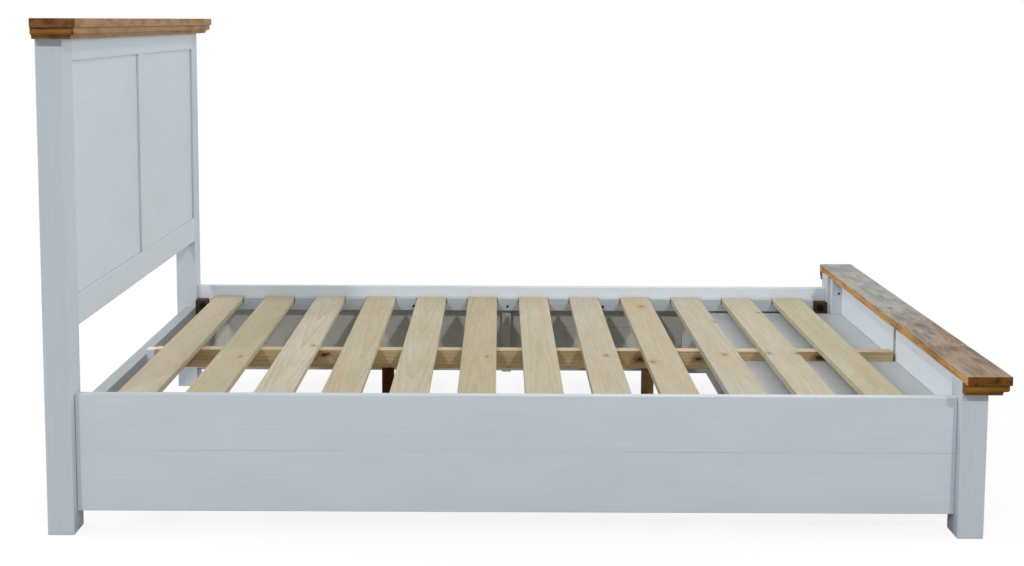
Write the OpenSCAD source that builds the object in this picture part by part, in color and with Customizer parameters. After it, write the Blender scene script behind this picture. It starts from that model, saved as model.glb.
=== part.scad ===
// Storage bed: panelled headboard, low footboard over two drawers, slatted deck.
// X runs from the headboard to the foot, Y runs across the bed, Z is up from the floor.
// The origin is on the floor under the middle of the whole bed.
// Left is the -Y side and right the +Y side, as seen from the foot facing the headboard.

/* [Bed] */
// Length between the headboard posts and the footboard posts
inner_l = 2070; // [2000:10:2200]
// Width across the outsides of the posts
bed_w = 1650; // [1450:10:1850]
// Height of the headboard with its cap
head_h = 1206; // [1000:1:1400]
// Height of the footboard with its cap
foot_h = 396; // [385:1:450]

/* [Posts] */
// Size of a post along the bed
post_d = 62; // [56:1:80]
// Size of a post across the bed
post_w = 88; // [80:1:110]

/* [Caps] */
// Thickness of a cap board
cap_t = 21; // [16:1:30]
// Reach of a cap board past the posts, in front and at both ends
cap_over = 42; // [40:1:60]
// Height of the moulding under a cap board
mould_h = 26; // [24:1:36]
// Reach of the moulding past the posts at its top
mould_top = 37; // [33:1:40]
// Height of the straight face at the top of the moulding
mould_neck = 9; // [6:1:10]
// Height of the rounded step below the straight face
mould_round = 7; // [4:1:8]
// Depth of the rounded step
mould_round_d = 4; // [2:1:6]
// Depth of the square step under the round
mould_quirk = 5; // [3:1:6]
// Height of the square step
mould_fillet = 1.5; // [1:0.5:3]
// Depth of the hollow that ends the moulding
mould_cove_d = 3; // [2:1:5]
// Width of the hairline at a mitre of the moulding
mitre_gap = 0.4; // [0.2:0.1:0.6]

/* [Headboard] */
// Thickness of the rails and the stile
head_frame_t = 35; // [28:1:45]
// Height of the top rail
top_rail_h = 77; // [60:1:110]
// Height of the lower rail
low_rail_h = 74; // [60:1:110]
// Height of the lower rail's underside above the floor
low_rail_z = 485; // [420:1:560]
// Width of the centre stile
stile_w = 75; // [50:1:110]
// Thickness of the two panels
panel_t = 12; // [8:1:14]
// Depth of the panels behind the face of the frame
panel_set = 7; // [4:1:10]
// Depth of the grooves that hold the panels
groove_d = 9; // [6:1:12]
// Height of the base rail's top above the floor
base_rail_top = 266; // [230:1:276]
// Height of the base rail
base_rail_h = 120; // [80:1:140]

/* [Tenons] */
// Length of a tenon
tenon_l = 32; // [20:1:45]
// Thickness of a tenon
tenon_t = 12; // [8:1:16]
// Step from the edge of a rail to its tenon
tenon_step = 12; // [8:1:16]
// Clearance round a tenon, a panel edge and a dovetail
fit = 0.2; // [0.1:0.05:0.4]
// Clearance at the end of a tenon and at the bottom of a panel's groove
groove_end = 1; // [0.5:0.5:2]

/* [Side rails] */
// Height of a side rail
rail_h = 281; // [270:1:320]
// Thickness of a side rail
rail_t = 25; // [20:1:30]
// Height of a side rail's underside above the floor
rail_z = 50; // [30:1:60]
// Set-back of a side rail from the outer faces of the posts
rail_set = 31; // [10:1:34]

/* [Slats] */
// Number of slats
slat_count = 12; // [9:1:13]
// Width of a slat
slat_w = 95; // [70:1:110]
// Thickness of a slat
slat_t = 18; // [14:1:22]
// Height of the slats' tops above the floor
deck_z = 298; // [296:1:305]
// Distance from the head corner block to the first slat
slat_lead = 16; // [6:1:30]
// Distance from the last slat to the foot corner block
slat_tail = 39; // [8:1:60]
// Gap between a slat's end and the side rail
slat_end_gap = 4; // [2:1:8]

/* [Slat ledgers] */
// Width of a ledger
ledger_w = 38; // [25:1:50]
// Height of a ledger
ledger_h = 40; // [35:1:43]
// Gap each side of a slat in its notch
notch_gap = 2.5; // [1:0.5:3]
// Width of the upright batten on each side rail
batten_w = 30; // [20:1:60]
// Thickness of the upright batten
batten_t = 20; // [12:1:30]
// Distance from the headboard posts to the middle of the batten
batten_x = 1020; // [800:10:1200]

/* [Corner blocks] */
// Length of a corner block along the side rail
corner_l = 45; // [40:1:54]
// Width of a corner block across the bed
corner_w = 40; // [30:1:60]
// Drop of a corner block's top below the slats' tops
corner_drop = 9; // [4:1:12]
// Height of the head blocks' undersides above the floor
corner_z = 62; // [62:1:90]

/* [Centre beam] */
// Width of the beam
beam_w = 43; // [35:1:50]
// Height of the beam
beam_h = 51; // [40:1:54]
// Gap between the beam's foot end and the fascia boards
beam_end_gap = 7; // [1:1:12]
// Side of the square legs under the beam
leg_w = 33; // [25:1:35]
// Distance from the headboard posts to the middle of the first leg
leg_head_x = 681; // [500:1:800]
// Distance from the headboard posts to the middle of the second leg
leg_foot_x = 1416; // [1200:1:1480]
// Thickness of the hanger's upright at the headboard
hanger_t = 23; // [15:1:30]
// Length of the hanger's ledge under the beam
hanger_ledge = 40; // [25:1:60]
// Height of the hanger's ledge
hanger_h = 38; // [25:1:50]
// Drop of the hanger's top below the beam's top
hanger_drop = 2; // [0:1:5]

/* [Drawer bay] */
// Thickness of the face frame and the drawer fronts
face_t = 19; // [16:1:24]
// Gap between the slat ledgers and the dust panels
bay_gap = 5; // [2:1:7]
// Thickness of the dust panels
dust_t = 12; // [9:1:15]
// Gap between the drawer boxes and the back panel
bay_back_gap = 14; // [8:1:30]
// Thickness of the back panel
bay_back_t = 12; // [9:1:18]
// Length of a side plank behind the back panel
plank_run = 80; // [0:5:120]
// Height of the bottom rail
foot_rail_h = 30; // [20:1:40]
// Width of the divider and the stile between the drawers
divider_w = 62; // [56:1:80]
// Width of the cleats that hold the fascia boards
cleat_w = 30; // [20:1:45]
// Thickness of the cleats
cleat_t = 33; // [24:1:38]
// Radius of the screw hole in a cleat
cleat_hole_r = 4; // [3:0.5:6]
// Depth of the screw hole in a cleat
cleat_hole_d = 10; // [5:1:15]
// Distance from a cleat's screw hole to the fascia board
cleat_hole_in = 10; // [8:1:16]
// Drop of a cleat's screw hole below the cap board
cleat_hole_drop = 53; // [20:1:90]
// Gap between the two fascia boards, as seen from the deck
fascia_gap = 28; // [10:1:40]
// Thickness of the stile where it laps over the fascia boards
stile_lap_t = 9; // [6:1:11]

/* [Drawers] */
// Gap round a drawer front
front_gap = 2.5; // [1.5:0.5:4]
// Headroom of a drawer box under the dust panels
box_headroom = 19; // [10:1:30]
// Thickness of the box's sides and ends
box_t = 12; // [10:1:15]
// Height of the box's underside above the bottom rail
box_lift = 12; // [6:1:16]
// Thickness of a drawer bottom
bottom_t = 6; // [4:1:8]
// Depth of the grooves round a drawer bottom
bottom_groove = 6; // [4:1:8]
// Height of a drawer bottom above the box's lower edge
bottom_lift = 10; // [6:1:14]
// Number of dovetails at a corner of the box
tail_count = 3; // [2:1:4]
// Width of a dovetail at its root
tail_w = 22; // [14:1:24]
// Flare of a dovetail on each side
tail_flare = 2; // [1:0.5:3]

/* [Runners] */
// Length of a runner
runner_l = 400; // [350:5:420]
// Height of a runner
runner_h = 35; // [30:1:45]
// Space that a runner takes beside the drawer box
runner_t = 12.7; // [12:0.1:14]
// Thickness of the runner's steel
runner_wall = 1.5; // [1.2:0.1:2]
// Depth of the lips that hold the inner member in
runner_lip = 3.5; // [2.5:0.5:4]
// Running clearance of the inner member
runner_play = 0.4; // [0.3:0.1:0.5]
// Distance from the back of a drawer front to the runner
runner_lead = 4; // [2:1:8]
// Length of the drawer box behind the runner
runner_spare = 6; // [2:1:20]

/* [Knobs] */
// Radius of a knob's head
knob_r = 17; // [12:1:20]
// Length of a knob
knob_l = 28; // [22:1:36]
// Radius of a knob's neck
knob_neck_r = 8; // [6:1:10]
// Radius of a knob's foot
knob_foot_r = 12; // [9:1:15]
// Thickness of a knob's foot
knob_foot_t = 3; // [2:0.5:5]
// Height of the slopes above the foot and under the head
knob_slope = 3.5; // [2:0.5:5]
// Height of a knob's domed crown
knob_crown = 6; // [3:0.5:9]
// Distance from a knob to the nearer end of the drawer front
knob_inset = 175; // [80:5:250]

/* [Bed bolts] */
// Radius of a bolt's shank
bolt_r = 4; // [3:0.5:5]
// Distance from a bolt's tip to the end of its insert
bolt_short = 1.5; // [0.5:0.5:4]
// Radius of a bolt's head
bolt_head_r = 6.5; // [6:0.5:8]
// Length of a bolt's head
bolt_head_l = 8; // [6:0.5:9]
// Radius of the hexagon socket, at its corners
bolt_hex_r = 3.4; // [2.5:0.1:4]
// Radius of a washer
washer_r = 11; // [9:0.5:14]
// Thickness of a washer
washer_t = 1.6; // [1:0.1:2.5]
// Outer radius of a threaded insert
insert_r = 6; // [5.5:0.5:7]
// Length of a threaded insert
insert_l = 17; // [12:1:18]
// Clearance round a bolt in its insert, and round the insert in the rail
bolt_play = 0.1; // [0.05:0.05:0.3]
// Clearance round a bolt in its corner block and its washer
bolt_hole_play = 0.5; // [0.3:0.1:1]
// Height of the lower bolt above a head block's underside
bolt_low = 50; // [30:1:80]

/* [Hidden] */
$fn = 48;
eps = 1;

SLATS = [for (i = [1 : slat_count]) str("slat_", i < 10 ? "0" : "", i)];

// Finishes
paint = [0.84, 0.86, 0.87];
wax = [0.56, 0.37, 0.20];
raw = [0.80, 0.71, 0.56];
stain = [0.24, 0.15, 0.10];
beam_brown = [0.48, 0.34, 0.20];
board = [0.70, 0.72, 0.72];
steel = [0.62, 0.63, 0.64];
black_steel = [0.14, 0.13, 0.12];

// Places along the bed
total_l = 2 * post_d + inner_l + cap_over;
head_x = post_d - total_l / 2;
foot_x = head_x + inner_l;
face_x = foot_x + post_d;
frame_x = face_x - face_t;
box_l = runner_lead + runner_l + runner_spare;
bay_x = frame_x - box_l - bay_back_gap - bay_back_t;
deck_l = inner_l - 2 * corner_l - slat_lead - slat_tail;
slat_pitch = (deck_l - slat_w) / (slat_count - 1);
function slat_x(i) = head_x + corner_l + slat_lead + slat_pitch * i;

// Places across the bed, on the left side
post_y = -bed_w / 2;
post_in = post_y + post_w;
rail_in = post_y + rail_set + rail_t;
ledger_in = rail_in + ledger_w;
corner_in = rail_in + corner_w;

// Heights
head_post_h = head_h - cap_t;
foot_post_h = foot_h - cap_t;
slat_z = deck_z - slat_t;
beam_z = slat_z - beam_h;
ledger_z = deck_z - ledger_h;
corner_top = deck_z - corner_drop;
bay_top = ledger_z - bay_gap;
dust_z = bay_top - dust_t;
foot_rail_top = rail_z + foot_rail_h;

// Headboard frame and panels
groove_x = head_x - panel_set - panel_t;
panel_lap = groove_d - groove_end;
low_rail_top = low_rail_z + low_rail_h;
top_rail_z = head_post_h - top_rail_h;
tenon_x = head_x - head_frame_t / 2 - tenon_t / 2;

// Drawer boxes, for the left drawer
box_y = [post_in + runner_t, -divider_w / 2 - runner_t];
box_x = [frame_x - box_l, frame_x];
box_z = [foot_rail_top + box_lift, dust_z - box_headroom];
box_h = box_z[1] - box_z[0];
runner_z = (box_z[0] + box_z[1]) / 2;
runner_x = frame_x - runner_lead - runner_l;
bottom_z = box_z[0] + bottom_lift;

// Bolts, along Y through a corner block into the side rail
head_bolt_x = head_x + corner_l / 2;
foot_bolt_x = foot_x - corner_l / 2;
high_bolt_z = (bay_top + corner_top) / 2;
low_bolt_z = corner_z + bolt_low;
bolt_tip = rail_in - insert_l + bolt_short;

// A square-edged piece between two planes on each axis
module block(x, y, z) {
    translate([x[0], y[0], z[0]])
        cube([x[1] - x[0], y[1] - y[0], z[1] - z[0]]);
}

// Children drawn on the left, or mirrored to the right
module on_side(side) {
    mirror([0, side == "right" ? 1 : 0, 0]) children();
}

module on_both_sides() {
    on_side("left") children();
    on_side("right") children();
}

// A round bar or bore along Y, from y0 to y1
module bar_y(r, x, y, z) {
    translate([x, y[0], z])
        rotate([-90, 0, 0])
            cylinder(h = y[1] - y[0], r = r);
}

// Tenon at the left end of a headboard rail between heights z, or its mortise
module rail_tenon(z, play) {
    block([tenon_x - play, tenon_x + tenon_t + play],
          [post_in - tenon_l - (play > 0 ? groove_end : 0), post_in + (play > 0 ? eps : 0)],
          [z[0] + tenon_step - play, z[1] - tenon_step + play]);
}

// A headboard rail with a tenon at each end
module head_rail(z) {
    block([head_x - head_frame_t, head_x], [post_in, -post_in], z);
    on_both_sides() rail_tenon(z, 0);
}

// Headboard post, grooved for a panel and mortised for the three rails
module head_post() {
    difference() {
        block([head_x - post_d, head_x], [post_y, post_in], [0, head_post_h]);
        block([groove_x - fit, groove_x + panel_t + fit],
              [post_in - groove_d, post_in + eps],
              [low_rail_top - groove_d, top_rail_z + groove_d]);
        rail_tenon([low_rail_z, low_rail_top], fit);
        rail_tenon([top_rail_z, head_post_h], fit);
        rail_tenon([base_rail_top - base_rail_h, base_rail_top], fit);
    }
}

// Groove along a rail for the panels and the stile's stub tenons
module rail_groove(z) {
    block([groove_x - fit, groove_x + panel_t + fit], [post_in, -post_in], z);
}

module headboard_top_rail() {
    color(paint) difference() {
        head_rail([top_rail_z, head_post_h]);
        rail_groove([top_rail_z - eps, top_rail_z + groove_d]);
    }
}

module headboard_lower_rail() {
    color(paint) difference() {
        head_rail([low_rail_z, low_rail_top]);
        rail_groove([low_rail_top - groove_d, low_rail_top + eps]);
    }
}

module headboard_base_rail() {
    color(paint) head_rail([base_rail_top - base_rail_h, base_rail_top]);
}

module headboard_stile() {
    color(paint) {
        difference() {
            block([head_x - head_frame_t, head_x], [-stile_w / 2, stile_w / 2],
                  [low_rail_top, top_rail_z]);
            on_both_sides()
                block([groove_x - fit, groove_x + panel_t + fit],
                      [-stile_w / 2 - eps, -stile_w / 2 + groove_d],
                      [low_rail_top - eps, top_rail_z + eps]);
        }
        block([groove_x, groove_x + panel_t],
              [-stile_w / 2 + groove_d, stile_w / 2 - groove_d],
              [low_rail_top - panel_lap, top_rail_z + panel_lap]);
    }
}

module head_panel() {
    color(paint)
        block([groove_x, groove_x + panel_t],
              [post_in - panel_lap, -stile_w / 2 + panel_lap],
              [low_rail_top - panel_lap, top_rail_z + panel_lap]);
}

// Cap board over a pair of posts whose front faces are at x
module cap_board(x, top) {
    end = post_y - cap_over;
    color(wax) block([x - post_d, x + cap_over], [end, -end], [top - cap_t, top]);
}

// Moulding section: reach from the posts against drop from the cap board
function quarter(p, d, from, to) =
    [for (a = [from : 15 * sign(to - from) : to]) [p[0] + d[0] * cos(a), p[1] + d[1] * sin(a)]];
round_p = mould_top - mould_round_d;
quirk_p = round_p - mould_quirk;
round_z = -mould_neck - mould_round;
cove_z = round_z - mould_fillet;
mould_section = concat(
    [[0, 0], [mould_top, 0]],
    quarter([round_p, -mould_neck], [mould_round_d, mould_round], 0, -90),
    [[quirk_p, round_z]],
    quarter([quirk_p, -mould_h], [mould_cove_d, mould_h + cove_z], 90, 180),
    [[0, -mould_h]]
);

// Straight moulding along +X from x0 to x1, reaching towards -Y from the line y = 0
module mould_run(x0, x1) {
    translate([x0, 0, 0])
        rotate([90, 0, 90])
            mirror([1, 0, 0])
                linear_extrude(x1 - x0) polygon(mould_section);
}

// Prism over a plan outline that holds one mitred length of moulding
module mitre_prism(outline, top) {
    translate([0, 0, top - mould_h - eps])
        linear_extrude(mould_h + 2 * eps) polygon(outline);
}

// Moulding round the front and both ends of a cap, in three mitred lengths.
// The mitre runs from inner, behind the post's corner, to tip, past the moulding.
module cap_moulding(x, board_top) {
    top = board_top - cap_t;
    back = x - post_d;
    inner = [x - eps, post_y + eps];
    tip = [x + mould_top + eps, post_y - mould_top - eps];
    half = [0, mitre_gap / 2];
    color(wax) {
        intersection() {
            translate([x, 0, top])
                rotate([0, 0, 90]) mould_run(tip[1], -tip[1]);
            mitre_prism([inner + half, tip + half,
                         [tip[0], -tip[1]] - half, [inner[0], -inner[1]] - half], top);
        }
        on_both_sides() intersection() {
            translate([0, post_y, top]) mould_run(back, tip[0]);
            mitre_prism([[back - eps, inner[1]], [back - eps, tip[1]],
                         tip - half, inner - half], top);
        }
    }
}

module foot_post() {
    color(paint) block([foot_x, face_x], [post_y, post_in], [0, foot_post_h]);
}

// Fascia board, rebated at its inner end for the stile
module fascia() {
    color(paint) difference() {
        block([frame_x, face_x], [post_in, -fascia_gap / 2], [bay_top, foot_post_h]);
        block([face_x - stile_lap_t - fit, face_x + eps], [-divider_w / 2 - fit, eps],
              [bay_top - eps, foot_post_h + eps]);
    }
}

// Stile between the drawers, thinner above them where it laps over the fascia boards
module footboard_stile() {
    across = [-divider_w / 2, divider_w / 2];
    color(paint) {
        block([frame_x, face_x], across, [foot_rail_top, bay_top]);
        block([face_x - stile_lap_t, face_x], across, [bay_top - eps, foot_post_h]);
    }
}

module footboard_bottom_rail() {
    color(paint)
        block([frame_x, face_x], [post_in, -post_in], [rail_z, foot_rail_top]);
}

module footboard_cleats() {
    cleat_in = post_in + cleat_w;
    color(paint) on_both_sides() difference() {
        block([frame_x - cleat_t, frame_x], [post_in, cleat_in], [bay_top, foot_post_h]);
        bar_y(cleat_hole_r, frame_x - cleat_hole_in,
              [cleat_in - cleat_hole_d, cleat_in + eps], foot_post_h - cleat_hole_drop);
    }
}

// Bores in the left side for the three bolts
module bolt_bores(r, y) {
    bar_y(r, head_bolt_x, y, low_bolt_z);
    bar_y(r, head_bolt_x, y, high_bolt_z);
    bar_y(r, foot_bolt_x, y, high_bolt_z);
}

module side_rail() {
    color(paint) difference() {
        block([head_x, foot_x], [post_y + rail_set, rail_in],
              [rail_z, rail_z + rail_h]);
        bolt_bores(insert_r + bolt_play, [rail_in - insert_l - eps, rail_in + eps]);
    }
}

module slat_ledger() {
    color(paint) difference() {
        block([head_x + corner_l, foot_x - corner_l], [rail_in, ledger_in],
              [ledger_z, deck_z]);
        for (i = [0 : slat_count - 1])
            block([slat_x(i) - notch_gap, slat_x(i) + slat_w + notch_gap],
                  [rail_in - eps, ledger_in + eps], [slat_z, deck_z + eps]);
    }
}

module rail_battens() {
    color(paint) on_both_sides()
        block([head_x + batten_x - batten_w / 2, head_x + batten_x + batten_w / 2],
              [rail_in, rail_in + batten_t], [rail_z, ledger_z]);
}

module corner_blocks() {
    across = [rail_in, corner_in];
    color(stain) on_both_sides() difference() {
        union() {
            block([head_x, head_x + corner_l], across, [corner_z, corner_top]);
            block([foot_x - corner_l, foot_x], across, [bay_top, corner_top]);
        }
        bolt_bores(bolt_r + bolt_hole_play, [rail_in - eps, corner_in + eps]);
    }
}

// Bolt, washer and threaded insert, pointing towards the rail
module bed_bolt(x, z) {
    washer_y = corner_in + washer_t;
    head_y = washer_y + bolt_play;
    difference() {
        union() {
            bar_y(bolt_r, x, [bolt_tip, head_y], z);
            bar_y(bolt_head_r, x, [head_y, head_y + bolt_head_l], z);
        }
        translate([x, head_y + bolt_head_l / 2, z])
            rotate([-90, 0, 0])
                cylinder(h = bolt_head_l, r = bolt_hex_r, $fn = 6);
    }
    difference() {
        bar_y(washer_r, x, [corner_in, washer_y], z);
        bar_y(bolt_r + bolt_hole_play, x, [corner_in - eps, washer_y + eps], z);
    }
    difference() {
        bar_y(insert_r, x, [rail_in - insert_l, rail_in], z);
        bar_y(bolt_r + bolt_play, x, [rail_in - insert_l - eps, rail_in + eps], z);
    }
}

module bed_bolts() {
    color(black_steel) on_both_sides() {
        bed_bolt(head_bolt_x, low_bolt_z);
        bed_bolt(head_bolt_x, high_bolt_z);
        bed_bolt(foot_bolt_x, high_bolt_z);
    }
}

module slat(i) {
    end = rail_in + slat_end_gap;
    color(raw) block([slat_x(i), slat_x(i) + slat_w], [end, -end], [slat_z, deck_z]);
}

module centre_beam() {
    color(beam_brown)
        block([head_x + hanger_t, frame_x - beam_end_gap], [-beam_w / 2, beam_w / 2],
              [beam_z, slat_z]);
}

// Hanger on the base rail: an upright with a ledge that carries the beam's end
module beam_hanger() {
    across = [-beam_w / 2, beam_w / 2];
    color(paint) {
        block([head_x, head_x + hanger_t], across,
              [beam_z - hanger_h, slat_z - hanger_drop]);
        block([head_x + hanger_t, head_x + hanger_t + hanger_ledge], across,
              [beam_z - hanger_h, beam_z]);
    }
}

module beam_leg(x) {
    half = leg_w / 2;
    block([head_x + x - half, head_x + x + half], [-half, half], [0, beam_z]);
}

// Back of the drawer bay, notched round the beam
module bay_back() {
    color(board) difference() {
        block([bay_x, bay_x + bay_back_t], [post_in, -post_in], [rail_z, dust_z]);
        block([bay_x - eps, bay_x + bay_back_t + eps],
              [-beam_w / 2 - fit, beam_w / 2 + fit], [beam_z, dust_z + eps]);
    }
}

// Planks along the side rails that carry the outer runners
module bay_planks() {
    color(board) on_both_sides()
        block([bay_x - plank_run, foot_x], [rail_in, post_in], [rail_z, dust_z]);
}

// Divider between the drawers, grooved along its top for the beam
module bay_divider() {
    color(board) difference() {
        block([bay_x + bay_back_t, frame_x], [-divider_w / 2, divider_w / 2],
              [foot_rail_top, dust_z]);
        block([bay_x, frame_x + eps], [-beam_w / 2 - fit, beam_w / 2 + fit],
              [beam_z, dust_z + eps]);
    }
}

// Dust panel over a drawer, cut back round the footboard post
module dust_panel() {
    color(board) difference() {
        block([bay_x, frame_x], [rail_in, -beam_w / 2 - fit], [dust_z, bay_top]);
        block([foot_x - fit, frame_x + eps], [rail_in - eps, post_in + fit],
              [dust_z - eps, bay_top + eps]);
    }
}

// Runner sections: reach from the mounting face against height
lip_u = runner_t - runner_wall;
lip_v = runner_h / 2 - runner_wall - runner_lip;
module channel_section() {
    difference() {
        translate([0, -runner_h / 2]) square([lip_u, runner_h]);
        translate([runner_wall, runner_wall - runner_h / 2])
            square([lip_u - 2 * runner_wall, runner_h - 2 * runner_wall]);
        translate([runner_wall, -lip_v]) square([lip_u, 2 * lip_v]);
    }
}

module member_section() {
    head_v = runner_h / 2 - runner_wall - runner_play;
    head_u = [runner_wall + runner_play, lip_u - runner_wall - runner_play];
    neck_v = lip_v - runner_play;
    difference() {
        union() {
            translate([head_u[0], -head_v]) square([head_u[1] - head_u[0], 2 * head_v]);
            translate([head_u[0], -neck_v]) square([runner_t - head_u[0], 2 * neck_v]);
        }
        translate([head_u[0] - eps, runner_wall - neck_v])
            square([lip_u - head_u[0] + eps, 2 * (neck_v - runner_wall)]);
    }
}

// A section drawn along the runner: y is the mounting face, way is +1 or -1 off it
module runner(y, way) {
    translate([runner_x, y, runner_z])
        rotate([90, 0, 90])
            linear_extrude(runner_l)
                mirror([way < 0 ? 1 : 0, 0]) children();
}

module runner_channels() {
    color(steel) on_both_sides() {
        runner(post_in, 1) channel_section();
        runner(-divider_w / 2, -1) channel_section();
    }
}

module drawer_runners() {
    color(steel) {
        runner(post_in, 1) member_section();
        runner(-divider_w / 2, -1) member_section();
    }
}

module drawer_front() {
    color(paint)
        block([frame_x, face_x],
              [post_in + front_gap, -divider_w / 2 - front_gap],
              [foot_rail_top + front_gap, bay_top - front_gap]);
}

// Dovetails of a box side at both ends, or their sockets with play
module box_tails(play) {
    pitch = box_h / tail_count;
    root = tail_w / 2 + play;
    tip = root + tail_flare;
    for (i = [0 : tail_count - 1], at_back = [0, 1])
        translate([at_back ? box_x[0] : box_x[1], 0, box_z[0] + pitch * (i + 0.5)])
            rotate([90, 0, 0])
                mirror([at_back, 0])
                    linear_extrude(box_t, center = true)
                        polygon([[-box_t, -root], [0, -tip], [0, tip], [-box_t, root]]);
}

// Groove round the inside of the box for its bottom
module bottom_slot() {
    reach = box_t - bottom_groove;
    block([box_x[0] + reach, box_x[1] - reach], [box_y[0] + reach, box_y[1] - reach],
          [bottom_z, bottom_z + bottom_t + 2 * fit]);
}

// The two dovetailed sides of a drawer box
module drawer_sides() {
    color(raw) difference() {
        for (y = [box_y[0] + box_t / 2, box_y[1] - box_t / 2])
            union() {
                block([box_x[0] + box_t, box_x[1] - box_t],
                      [y - box_t / 2, y + box_t / 2], box_z);
                translate([0, y, 0]) box_tails(0);
            }
        bottom_slot();
    }
}

// The front and back of a drawer box, socketed for the sides' dovetails
module drawer_ends() {
    color(raw) difference() {
        union() {
            block([box_x[0], box_x[0] + box_t], box_y, box_z);
            block([box_x[1] - box_t, box_x[1]], box_y, box_z);
        }
        for (y = [box_y[0] + box_t / 2, box_y[1] - box_t / 2])
            translate([0, y, 0]) box_tails(fit);
        bottom_slot();
    }
}

module drawer_bottom() {
    inset = box_t - bottom_groove + fit;
    color(board)
        block([box_x[0] + inset, box_x[1] - inset], [box_y[0] + inset, box_y[1] - inset],
              [bottom_z + fit, bottom_z + fit + bottom_t]);
}

// Turned knob pointing along +X from the drawer front
module knob(y, z) {
    rim = knob_l - knob_crown;
    translate([face_x, y, z])
        rotate([0, 90, 0])
            rotate_extrude()
                polygon(concat(
                    [[0, 0], [knob_foot_r, 0], [knob_foot_r, knob_foot_t],
                     [knob_neck_r, knob_foot_t + knob_slope],
                     [knob_neck_r, rim - 2 * knob_slope], [knob_r, rim - knob_slope]],
                    quarter([0, rim], [knob_r, knob_crown], 0, 90)
                ));
}

module drawer_knobs() {
    z = (foot_rail_top + bay_top) / 2;
    color(wax)
        for (y = [post_in + knob_inset, -divider_w / 2 - knob_inset]) knob(y, z);
}

module headboard_post_left() color(paint) head_post();
module headboard_post_right() color(paint) on_side("right") head_post();

headboard_post_left();
headboard_post_right();
headboard_top_rail();
headboard_lower_rail();
headboard_stile();
head_panel();  // headboard_panel_left
on_side("right") head_panel();  // headboard_panel_right
headboard_base_rail();
cap_board(head_x, head_h);  // headboard_cap_board
cap_moulding(head_x, head_h);  // headboard_cap_moulding

foot_post();  // footboard_post_left
on_side("right") foot_post();  // footboard_post_right
fascia();  // footboard_fascia_left
on_side("right") fascia();  // footboard_fascia_right
footboard_stile();
footboard_bottom_rail();
footboard_cleats();
cap_board(face_x, foot_h);  // footboard_cap_board
cap_moulding(face_x, foot_h);  // footboard_cap_moulding

side_rail();  // side_rail_left
on_side("right") side_rail();  // side_rail_right
slat_ledger();  // slat_ledger_left
on_side("right") slat_ledger();  // slat_ledger_right
rail_battens();
corner_blocks();
bed_bolts();

centre_beam();
beam_hanger();
color(stain) beam_leg(leg_head_x);  // beam_leg_head
color(beam_brown) beam_leg(leg_foot_x);  // beam_leg_foot

bay_back();
bay_planks();
bay_divider();
dust_panel();  // dust_panel_left
on_side("right") dust_panel();  // dust_panel_right
runner_channels();

for (side = ["left", "right"]) {
    drawer = str("drawer_", side);
    on_side(side) drawer_front();
    on_side(side) drawer_sides();
    on_side(side) drawer_ends();
    on_side(side) drawer_bottom();
    on_side(side) drawer_runners();
    on_side(side) drawer_knobs();
}

for (i = [0 : slat_count - 1])
    slat(i);
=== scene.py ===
# %% [markdown]
# # Dressing a storage bed
#
# The solids of this bed come from its CAD model: already in place, at real size, in metres.
# So nothing here sets a length of the bed.
# What is left is what the eye meets first: brushed paint, waxed and raw pine, plated steel,
# softened edges, screws, light and a camera.

# %% The frame
import math

import bmesh
import bpy
from mathutils import Matrix, Vector


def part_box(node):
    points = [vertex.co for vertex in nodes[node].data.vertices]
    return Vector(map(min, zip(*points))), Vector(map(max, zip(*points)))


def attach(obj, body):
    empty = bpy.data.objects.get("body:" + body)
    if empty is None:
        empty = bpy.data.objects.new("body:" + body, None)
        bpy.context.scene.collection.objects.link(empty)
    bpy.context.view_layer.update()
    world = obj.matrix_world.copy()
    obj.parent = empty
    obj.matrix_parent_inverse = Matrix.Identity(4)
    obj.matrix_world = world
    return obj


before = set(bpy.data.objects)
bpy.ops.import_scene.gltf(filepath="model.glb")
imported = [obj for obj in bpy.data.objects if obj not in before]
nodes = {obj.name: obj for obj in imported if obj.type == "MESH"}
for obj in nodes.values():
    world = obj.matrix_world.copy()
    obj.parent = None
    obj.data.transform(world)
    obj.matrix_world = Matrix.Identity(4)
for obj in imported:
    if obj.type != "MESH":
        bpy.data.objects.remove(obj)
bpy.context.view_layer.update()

# %% [markdown]
# ## The camera
#
# The photograph was taken from beside the bed, a little above the headboard's height.
# Its posts stay upright in the picture, which a shifted lens does.
# A large shift would push the bed out of other views, so a small shift shares the work with
# a camera that looks down a few degrees.
# The place and the angles below were solved from the corners of the bed.

# %% Place the camera
PHOTO_WIDTH = 1024  # pixels
FOCAL_LENGTH = 1624.6  # pixels
SENSOR_WIDTH = 36.0  # mm
CAMERA_PLACE = Vector((-0.0629, -4.5247, 1.2054))
YAW = math.radians(-0.105)
PITCH = math.radians(6.362)
ROLL = math.radians(0.205)

camera_data = bpy.data.cameras.new("camera")
camera_data.sensor_width = SENSOR_WIDTH
camera_data.lens = FOCAL_LENGTH / PHOTO_WIDTH * SENSOR_WIDTH
camera_data.shift_x = 0.0157
camera_data.shift_y = -0.08
camera_data.clip_end = 200
camera = bpy.data.objects.new("camera", camera_data)
bpy.context.scene.collection.objects.link(camera)

forward = Vector((
    math.sin(YAW) * math.cos(PITCH),
    math.cos(YAW) * math.cos(PITCH),
    -math.sin(PITCH),
))
level_right = Vector((math.cos(YAW), -math.sin(YAW), 0))
level_up = level_right.cross(forward)
right = math.cos(ROLL) * level_right + math.sin(ROLL) * level_up
up = math.cos(ROLL) * level_up - math.sin(ROLL) * level_right
camera.matrix_world = Matrix.LocRotScale(
    CAMERA_PLACE, Matrix((right, up, -forward)).transposed().to_quaternion(), None
)
bpy.context.scene.camera = camera
bpy.context.scene.view_settings.view_transform = "Standard"
print("lens:", round(camera_data.lens, 1), "mm")

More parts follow.
